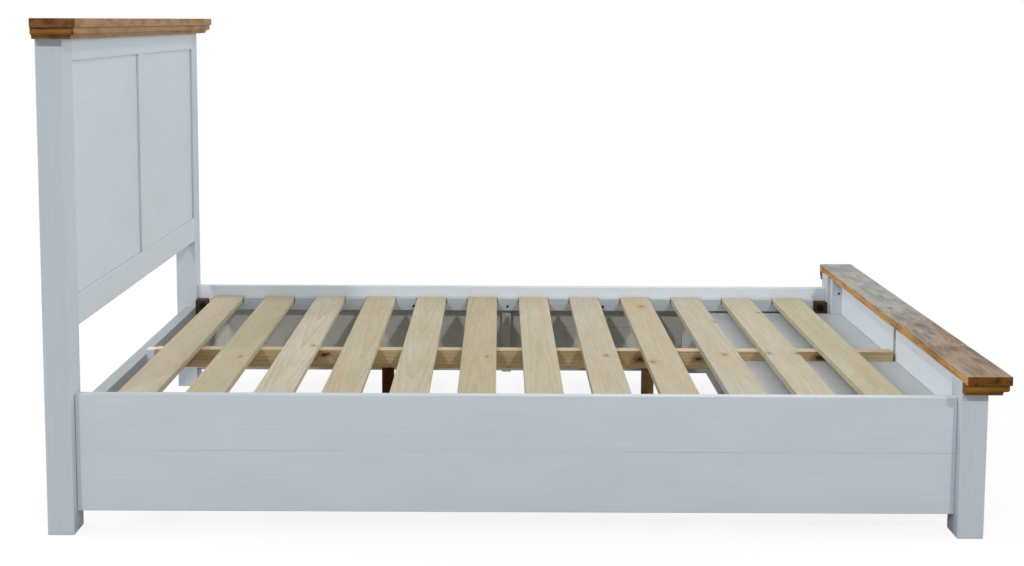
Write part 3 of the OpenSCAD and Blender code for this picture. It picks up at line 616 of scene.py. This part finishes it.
def waxed_pine(name, palettes, knot, pith, ring=7.0, knots=(), wander=16.0, mitre_x=None,
               end_y=0.0, dust_y=None):
    """Stained, waxed pine. palettes gives a pale and a deep colour for top, side and end.

    A cut pair is for the faces that look along -x: end grain darkened by stain and by painted
    shade.
    A dust pair greys the top from the first place of dust_y, in mm across the bed, to the second.
    mitre_x and end_y, in metres, are the outer faces where a moulding's mitres start."""
    material, tree, output = new_material(name)
    place = board_place(tree, "xyz")
    if mitre_x is not None:
        parts = add(tree, "SeparateXYZ", {0: place})
        from_front = add(tree, "Math", {0: mitre_x * MM, 1: parts.outputs[0]},
                         operation="SUBTRACT")
        off_middle = add(tree, "Math", {0: parts.outputs[1]}, operation="ABSOLUTE")
        from_end = add(tree, "Math", {0: end_y * MM, 1: off_middle}, operation="SUBTRACT")
        on_end = add(tree, "Math", {0: from_end, 1: from_front}, operation="LESS_THAN")
        end_place = board_place(tree, "yxz")
        both = add(tree, "Mix", {0: on_end, 4: place, 5: end_place}, data_type="VECTOR")
        place = both.outputs[1]
    figure = ring_node(tree, place, pith, ring, wander, knots)
    patch = board_noise(tree, place, board_seed(), STAIN_PATCH, 3.0)
    patch = add(tree, "MapRange", {0: patch, 1: 0.46, 2: 0.62, 4: STAIN_SHARE})
    depth = add(tree, "Math", {0: figure["Late"], 1: RING_SHARE, 2: patch},
                operation="MULTIPLY_ADD", use_clamp=True)

    def stained(pair):
        """The rings and the patches mix the pale and the deep colour of one pair."""
        pale, deep = palettes[pair]
        return add(tree, "Mix", {0: depth, FIRST: linear(pale), SECOND: linear(deep)},
                   data_type="RGBA").outputs[COLOUR]

    normal = add(tree, "NewGeometry").outputs["True Normal"]
    facing = add(tree, "VectorMath", {0: normal}, operation="ABSOLUTE")
    facing = add(tree, "SeparateXYZ", {0: facing})
    colour = None
    for side, pick in (("top", None), ("side", 0), ("end", 1)):
        stain = stained(side)
        if side == "top" and dust_y:
            bed_place = board_place(tree, "xyz")
            blotch = add(tree, "VectorMath", {0: bed_place, 1: DUST_BLOTCH},
                         operation="MULTIPLY")
            blotch = add(tree, "TexNoise", {"Vector": blotch, "Scale": 1.0, "Detail": 4.0})
            across_bed = add(tree, "SeparateXYZ", {0: bed_place}).outputs[1]
            away = add(tree, "MapRange", {0: across_bed, 1: dust_y[0], 2: dust_y[1],
                                          3: DUST_FADE[0], 4: DUST_FADE[1]})
            grey = add(tree, "Math", {0: blotch, 1: away}, operation="ADD")
            grey = add(tree, "MapRange", {0: grey, 1: 0.25, 2: 0.7})
            stain = add(tree, "Mix", {0: grey, FIRST: stain, SECOND: stained("dust")},
                        data_type="RGBA").outputs[COLOUR]
        if pick is not None:
            turned = add(tree, "MapRange", {0: facing.outputs[pick], 1: TURNED[0],
                                            2: TURNED[1]})
            stain = add(tree, "Mix", {0: turned, FIRST: colour, SECOND: stain},
                        data_type="RGBA").outputs[COLOUR]
        colour = stain
    # Faces that look along -x are cut ends: end grain, darkened by the stain and by painted
    # shade.
    if "cut" in palettes:
        back = add(tree, "SeparateXYZ", {0: normal}).outputs[0]
        turned = add(tree, "MapRange", {0: back, 1: -TURNED[0], 2: -TURNED[1]})
        colour = add(tree, "Mix", {0: turned, FIRST: colour, SECOND: stained("cut")},
                     data_type="RGBA").outputs[COLOUR]
    streak = add(tree, "MapRange", {0: figure["Fibre"], 1: 0.3, 2: 0.7, 3: 0.8, 4: 1.16})
    colour = add(tree, "VectorMath", {0: colour, 1: streak}, operation="MULTIPLY")
    worn = add(tree, "Math", {0: figure["Knot"], 1: WORN_SHARE}, operation="MULTIPLY")
    colour = add(tree, "Mix", {0: worn, FIRST: colour, SECOND: linear(knot)},
                 data_type="RGBA").outputs[COLOUR]
    relief = add(tree, "Math", {0: figure["Late"], 1: figure["Fibre"]}, operation="ADD")
    bump = add(tree, "Bump", {"Height": relief, "Strength": 0.4, "Distance": WAX_RELIEF})
    shader = add(tree, "BsdfPrincipled", {
        "Base Color": colour, "Roughness": 0.5, "IOR": 1.5, "Normal": bump,
        "Specular IOR Level": 0.12,
    })
    tree.links.new(shader.outputs[0], output.inputs[0])
    return material


print("stain patches:", STAIN_PATCH, "mm")

# %% The caps and the knobs
WAX_KNOT = "#4A372A"
RUBBED = ("#8D745B", "#584537")
DUST = ("#97968F", "#73716A")
BOARD_END = ("#704A16", "#3C2407")
# A moulding's returns are face grain: their dark colour is painted shade.
SHADED_MOULDING_END = ("#8A601E", "#573810")
RED_END = ("#7C552E", "#452A14")
SHADED_RED_MOULDING_END = ("#8E612A", "#452709")
HEAD_SIDE = ("#A48057", "#745436")
HONEY = ("#C3965A", "#80593A")
HEAD_CAP = {"top": RUBBED, "side": HEAD_SIDE, "end": RED_END}
HEAD_MOULDING = {"top": RUBBED, "side": HEAD_SIDE, "end": SHADED_RED_MOULDING_END, "cut": RED_END}
FOOT_CAP = {"top": RUBBED, "dust": DUST, "side": HONEY, "end": BOARD_END}
FOOT_MOULDING = {"top": RUBBED, "side": HONEY, "end": SHADED_MOULDING_END, "cut": BOARD_END}
TURNED_PINE = ("#9A7650", "#6B4A2C")
KNOB = {"top": TURNED_PINE, "side": TURNED_PINE, "end": TURNED_PINE}
cap_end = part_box("headboard_cap_board")[1].y
finish_of["headboard_cap_board"] = waxed_pine(
    "waxed_pine_head_board", HEAD_CAP, WAX_KNOT, pith=(-1090, 0.003, 960), ring=4.5,
    wander=5.0)
finish_of["headboard_cap_moulding"] = waxed_pine(
    "waxed_pine_head_moulding", HEAD_MOULDING, WAX_KNOT, pith=(-1090, 0.003, 760), ring=4.0,
    wander=5.0, mitre_x=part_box("headboard_cap_moulding")[1].x, end_y=cap_end)
finish_of["footboard_cap_board"] = waxed_pine(
    "waxed_pine_foot_board", FOOT_CAP, WAX_KNOT, pith=(1060, 0.012, 350),
    dust_y=(-430.0, 420.0), knots=((1066, -232, 17), (1074, -540, 18), (1050, 30, 9)))
finish_of["footboard_cap_moulding"] = waxed_pine(
    "waxed_pine_foot_moulding", FOOT_MOULDING, WAX_KNOT, pith=(-1080, 0.004, 0), ring=5.0,
    mitre_x=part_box("footboard_cap_moulding")[1].x, end_y=cap_end)
knob_pine = waxed_pine("waxed_pine_knobs", KNOB, WAX_KNOT, pith=(1085, 0.0, 150), ring=4.0)
print("caps end at", round(cap_end, 3))

# %% [markdown]
# ## Boards in the drawer bay, and steel
#
# The drawer bay is closed with thin sprayed board, smooth and a little warmer than the rails.
# Runners are zinc plated steel and bolts and screws are blackened: metals, so their colour is
# their reflection.

# %% Board and steel
MOTTLE = 60  # mm
PEEL = 1.5  # mm
CRYSTAL = 4  # mm, coarser than on real plating, so that it shows
FINE_CRYSTAL = 2  # mm
GLOSS_SPREAD = 0.08


def smooth_board(name, pale, shade, roughness):
    """Sheet board with a sprayed finish: only a faint mottle and a fine orange peel."""
    material, tree, output = new_material(name)
    place = board_place(tree, "xyz")
    mottle = add(tree, "TexNoise", {"Vector": place, "Scale": 1 / MOTTLE, "Detail": 4.0})
    peel = add(tree, "TexNoise", {"Vector": place, "Scale": 1 / PEEL, "Detail": 2.0})
    colour = add(tree, "Mix", {0: mottle, FIRST: linear(pale), SECOND: linear(shade)},
                 data_type="RGBA").outputs[COLOUR]
    bump = add(tree, "Bump", {"Height": peel, "Strength": 0.15, "Distance": 0.0002})
    shader = add(tree, "BsdfPrincipled", {
        "Base Color": colour, "Roughness": roughness, "IOR": 1.48, "Normal": bump,
    })
    tree.links.new(shader.outputs[0], output.inputs[0])
    return material


def plated_steel(name, pale, shade, roughness):
    """Plated steel with the faint crystals of its plating."""
    material, tree, output = new_material(name)
    place = board_place(tree, "xyz")
    crystal = add(tree, "TexVoronoi", {"Vector": place, "Scale": 1 / CRYSTAL})
    crystal = add(tree, "SeparateColor", {0: crystal.outputs["Color"]})
    colour = add(tree, "Mix", {0: crystal, FIRST: linear(pale), SECOND: linear(shade)},
                 data_type="RGBA").outputs[COLOUR]
    fine = add(tree, "TexNoise", {"Vector": place, "Scale": 1 / FINE_CRYSTAL, "Detail": 3.0})
    gloss = add(tree, "MapRange", {0: fine, 3: roughness - GLOSS_SPREAD,
                                   4: roughness + GLOSS_SPREAD})
    shader = add(tree, "BsdfPrincipled", {
        "Base Color": colour, "Metallic": 1.0, "Roughness": gloss,
    })
    tree.links.new(shader.outputs[0], output.inputs[0])
    return material


bay_board = smooth_board("sprayed_board", "#C1C6C8", "#B2B7B9", 0.5)
zinc_steel = plated_steel("zinc_plated_steel", "#C4C7C9", "#A9AEB2", 0.36)
black_steel = plated_steel("blackened_steel", "#2E2B28", "#1E1C1A", 0.55)
print("materials so far:", len(bpy.data.materials))

# %% [markdown]
# ## Dressing the solids
#
# No edge on real furniture is sharp: sandpaper and paint round it over by a millimetre or so,
# and that thin round is what catches the light.
# The CAD mesh is cut into triangles, so a modifier first joins its corners and its flat faces,
# and then a bevel can run cleanly along each edge.

# %% Give every node its finish and its edge
# A board's seed counts the materials before it, so the cleats' paint is made after the rest.
# The cleats' lighter tint is painted light.
cleat_paint = painted_pine("satin_paint_cleats", "yzx", tint="#D4DBE2")
FINISHES = {
    rail_paint: ("side_rail_",),
    panel_paint: ("headboard_panel_",),
    cross_paint: ("headboard_top_rail", "headboard_lower_rail", "footboard_bottom_rail",
                  "drawer_left_front", "drawer_right_front", "beam_hanger"),
    fascia_paint: ("footboard_fascia_",),
    base_paint: ("headboard_base_rail",),
    upright_paint: ("headboard_post_", "footboard_post_"),
    stile_paint: ("headboard_stile", "footboard_stile"),
    cleat_paint: ("footboard_cleats",),
    batten_paint: ("rail_battens",),
    ledger_paint: ("slat_ledger_",),
    knob_pine: ("drawer_left_knobs", "drawer_right_knobs"),
    beam_pine: ("centre_beam",),
    foot_leg_pine: ("beam_leg_foot",),
    stained_leg_pine: ("beam_leg_head",),
    stained_block_pine: ("corner_blocks",),
    box_pine_along: ("drawer_left_sides", "drawer_right_sides"),
    box_pine_across: ("drawer_left_ends", "drawer_right_ends"),
    bay_board: ("bay_", "dust_panel_", "drawer_left_bottom", "drawer_right_bottom"),
    black_steel: ("bed_bolts",),
    zinc_steel: ("runner_channels", "drawer_left_runners", "drawer_right_runners"),
}
EDGE_MM = {"side_rail_": 2.0, "headboard_post_": 1.0, "footboard_post_": 2.0, "slat_0": 1.6,
           "slat_1": 1.6, "runner": 0.3, "bolts": 0.3, "knobs": 0.4, "moulding": 0.5,
           "_ends": 0.1}  # the tails of a drawer's ends leave no room for a wider round
PLAIN_EDGE_MM = 1.2
SHARP_ANGLE = math.radians(35)  # an edge that turns by more is rounded
FLAT_ANGLE = math.radians(1)
WELD_REACH = 0.00001  # metres
DOVETAILED = ("drawer_left_sides", "drawer_left_ends", "drawer_right_sides", "drawer_right_ends")


def soften(node, width_mm, clamped):
    """Joins the triangles of a CAD node and rounds its edges."""
    weld = node.modifiers.new("join corners", "WELD")
    weld.merge_threshold = WELD_REACH
    faces = node.modifiers.new("join flat faces", "DECIMATE")
    faces.decimate_type = "DISSOLVE"
    faces.angle_limit = FLAT_ANGLE
    bevel = node.modifiers.new("softened edges", "BEVEL")
    bevel.width = width_mm / MM
    bevel.segments = 2
    bevel.limit_method = "ANGLE"
    bevel.angle_limit = SHARP_ANGLE
    bevel.harden_normals = True
    bevel.loop_slide = False
    bevel.use_clamp_overlap = clamped


for finish, starts in FINISHES.items():
    for name in nodes:
        if name.startswith(starts):
            finish_of[name] = finish
for name, node in nodes.items():
    node.data.materials.clear()
    node.data.materials.append(finish_of[name])
    widths = [width for part, width in EDGE_MM.items() if part in name]
    soften(node, widths[0] if widths else PLAIN_EDGE_MM, name in DOVETAILED)
print("nodes dressed:", len(finish_of))

# %% [markdown]
# ## Screws
#
# Pan-head screws hold the slat ledgers and the fascia's cleats.
# A head is a turned profile, so it is drawn as rings of corners, and its cross recess is cut
# down from the flat top, where it keeps a shadow.
# Each piece rides the same body as the wood that it holds.

# %% Draw a pan-head screw
HEAD_SIDES = 32
HEAD_PROFILE = ((4.0, -0.4), (4.0, 0.8), (3.7, 1.5), (3.1, 2.0), (2.4, 2.2))  # mm
CROSS_ARM = 1.9  # mm
CROSS_HALF = 0.45  # mm
CROSS_DEPTH = 1.6  # mm, so the wood never shows through
CROSS_TAPER = 0.8
TURN_BETWEEN = 0.9  # radians, so that no two crosses stand alike


def add_head(mesh, place, size):
    """Adds one screw head to a mesh. It stands on the z axis of its place."""
    def corner(x, y, z):
        return mesh.verts.new(place @ (Vector((x, y, z)) * size / MM))

    loops = []
    for radius, height in HEAD_PROFILE:
        turns = [2 * math.pi * i / HEAD_SIDES for i in range(HEAD_SIDES)]
        loops.append([corner(radius * math.cos(a), radius * math.sin(a), height) for a in turns])
    arm, half = CROSS_ARM, CROSS_HALF
    cross = [(arm, -half), (arm, half), (half, half), (half, arm), (-half, arm), (-half, half),
             (-arm, half), (-arm, -half), (-half, -half), (-half, -arm), (half, -arm),
             (half, -half)]
    top = HEAD_PROFILE[-1][1]
    mouth = [corner(x, y, top) for x, y in cross]
    bottom = [corner(CROSS_TAPER * x, CROSS_TAPER * y, top - CROSS_DEPTH) for x, y in cross]
    for low, high in (*zip(loops, loops[1:]), (bottom, mouth)):
        for i in range(len(low)):
            mesh.faces.new((low[i - 1], low[i], high[i], high[i - 1]))
    mesh.faces.new(loops[0])
    mesh.faces.new(bottom)
    rim = [mesh.edges.get((loop[i - 1], loop[i])) for loop in (loops[-1], mouth)
           for i in range(len(loop))]
    bmesh.ops.triangle_fill(mesh, edges=rim, use_beauty=True)


def screws(name, body, finish, heads, size=1.0):
    """One piece made of screw heads. Each has a place in mm and a direction that it looks to."""
    mesh = bmesh.new()
    for i, (spot, way) in enumerate(heads):
        turn = Vector(way).to_track_quat("Z", "X").to_matrix().to_4x4()
        twist = Matrix.Rotation(TURN_BETWEEN * i, 4, "Z")
        add_head(mesh, Matrix.Translation(Vector(spot) / MM) @ turn @ twist, size)
    bmesh.ops.recalc_face_normals(mesh, faces=mesh.faces)
    for face in mesh.faces:
        face.smooth = True
    for edge in mesh.edges:
        edge.smooth = edge.calc_face_angle() < SHARP_ANGLE
    data = bpy.data.meshes.new(name)
    mesh.to_mesh(data)
    mesh.free()
    data.materials.append(finish)
    piece = bpy.data.objects.new(name, data)
    bpy.context.scene.collection.objects.link(piece)
    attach(piece, body)
    return piece


print("a head is", 2 * HEAD_PROFILE[0][0], "mm wide")

# %% Place the screws
LEDGER_SCREWS_X = (-341.0, -33.0, 279.0)  # mm, each in a gap between two slats
LEDGER_SCREW_Z = 272.0
ledger_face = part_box("slat_ledger_right")[0].y * MM
ledger_heads = [((x, side * ledger_face, LEDGER_SCREW_Z), (0, -side, 0))
                for side in (-1, 1) for x in LEDGER_SCREWS_X]
ledger_screws = screws("ledger_screws", "bed_frame", black_steel, ledger_heads)
CLEAT_HOLE_X = 1047.0  # mm
CLEAT_HOLE_Z = 322.0
CLEAT_FACE_Y = 707.0  # mm, the face of each cleat that looks to the other
CLEAT_SINK = 4.0  # mm, how deep the heads sit in their holes
CLEAT_HEAD_SIZE = 0.85  # beside a ledger's screws
cleat_y = CLEAT_FACE_Y + CLEAT_SINK
cleat_heads = [((CLEAT_HOLE_X, side * cleat_y, CLEAT_HOLE_Z), (0, -side, 0))
               for side in (-1, 1)]
cleat_screws = screws("cleat_screws", "bed_frame", black_steel, cleat_heads, CLEAT_HEAD_SIZE)
print("screw heads:", len(ledger_heads) + len(cleat_heads))

# %% [markdown]
# ## Light and floor
#
# The photograph was lit softly from both sides, so the gaps between slats throw crossed,
# three-cornered patches of light on the beam and the far rail.
# Two small lamps in front do that, high on the left and on the right.
# Softboxes at both ends, behind and above, and a pale world, fill in the rest.
# The room behind is white to the camera and to reflections, whatever the lamps do.
# The floor is grey for the light that it sends back up, and white to the camera but for the
# bed's shadow, which fades out with distance.

# %% World and lamps
FILL_STRENGTH = 0.32
world = bpy.data.worlds.new("pale room")
bpy.context.scene.world = world
world.use_nodes = True
room = world.node_tree
room.nodes.clear()
rays = add(room, "LightPath").outputs
seen = add(room, "Math", {0: rays["Is Camera Ray"], 1: rays["Is Glossy Ray"]},
           operation="MAXIMUM")
seen = add(room, "Math", {0: seen, 1: rays["Is Transmission Ray"]}, operation="MAXIMUM")
fill = add(room, "Background", {"Color": linear("#FCFDFF"), "Strength": FILL_STRENGTH})
white = add(room, "Background", {"Color": (1, 1, 1, 1), "Strength": 1.0})
shown = add(room, "MixShader", {0: seen, 1: fill, 2: white})
add(room, "OutputWorld", {0: shown})

LAMPS = {
    # the place in metres, the power in watts, the width in metres
    "left lamp": ((-4.6, -10.7, 7.9), 470.0, 0.6),
    "right lamp": ((4.6, -10.7, 7.9), 470.0, 0.6),
    "left softbox": ((-6.0, 0.0, 4.6), 335.0, 3.0),
    "right softbox": ((6.0, 0.0, 2.0), 225.0, 3.0),
    "back softbox": ((0.0, 7.0, 2.4), 80.0, 3.0),
    "top softbox": ((0.0, 0.0, 6.3), 42.0, 4.0),
}
NO_GLARE = "back softbox"  # it stands where every level face would mirror it to the camera
LAMP_AIM = Vector((0, 0, 0.3))
for name, (spot, watts, width) in LAMPS.items():
    lamp_data = bpy.data.lights.new(name, "AREA")
    lamp_data.energy = watts
    lamp_data.size = width
    lamp = bpy.data.objects.new(name, lamp_data)
    lamp.location = spot
    lamp.visible_camera = False
    lamp.visible_glossy = name != NO_GLARE
    aim = LAMP_AIM - lamp.location
    lamp.rotation_euler = aim.to_track_quat("-Z", "Y").to_euler()
    bpy.context.scene.collection.objects.link(lamp)
print("lamps:", len(LAMPS))

# %% Floor
FLOOR_HALF = 60.0  # metres
MATT_GREY = "#BCBCBC"
NEAR_WHITE = "#F4F4F4"
SHADOW_FADE = (1.2, 3.6)  # metres from the middle of the bed
GLOW_SHARE = (0.88, 1.0)  # how much of the floor is plain white, near and far
floor_mesh = bpy.data.meshes.new("floor")
floor_mesh.from_pydata(
    [(-FLOOR_HALF, -FLOOR_HALF, 0), (FLOOR_HALF, -FLOOR_HALF, 0),
     (FLOOR_HALF, FLOOR_HALF, 0), (-FLOOR_HALF, FLOOR_HALF, 0)], [], [(0, 1, 2, 3)])
floor = bpy.data.objects.new("floor", floor_mesh)
bpy.context.scene.collection.objects.link(floor)
floor_paint, tree, output = new_material("matt_floor")
rays = add(tree, "LightPath").outputs
matt = add(tree, "BsdfDiffuse", {"Color": linear(MATT_GREY)})
bright = add(tree, "BsdfDiffuse", {"Color": linear(NEAR_WHITE)})
glow = add(tree, "Emission", {"Color": (1, 1, 1, 1), "Strength": 1.0})
place = add(tree, "TexCoord").outputs["Object"]
away = add(tree, "VectorMath", {0: place}, operation="LENGTH").outputs["Value"]
share = add(tree, "MapRange", {0: away, 1: SHADOW_FADE[0], 2: SHADOW_FADE[1],
                               3: GLOW_SHARE[0], 4: GLOW_SHARE[1]},
            interpolation_type="SMOOTHSTEP")
white_floor = add(tree, "MixShader", {0: share, 1: bright, 2: glow})
mixed = add(tree, "MixShader", {0: rays["Is Camera Ray"], 1: matt, 2: white_floor})
tree.links.new(mixed.outputs[0], output.inputs[0])
floor_mesh.materials.append(floor_paint)
print("floor:", 2 * FLOOR_HALF, "m square")
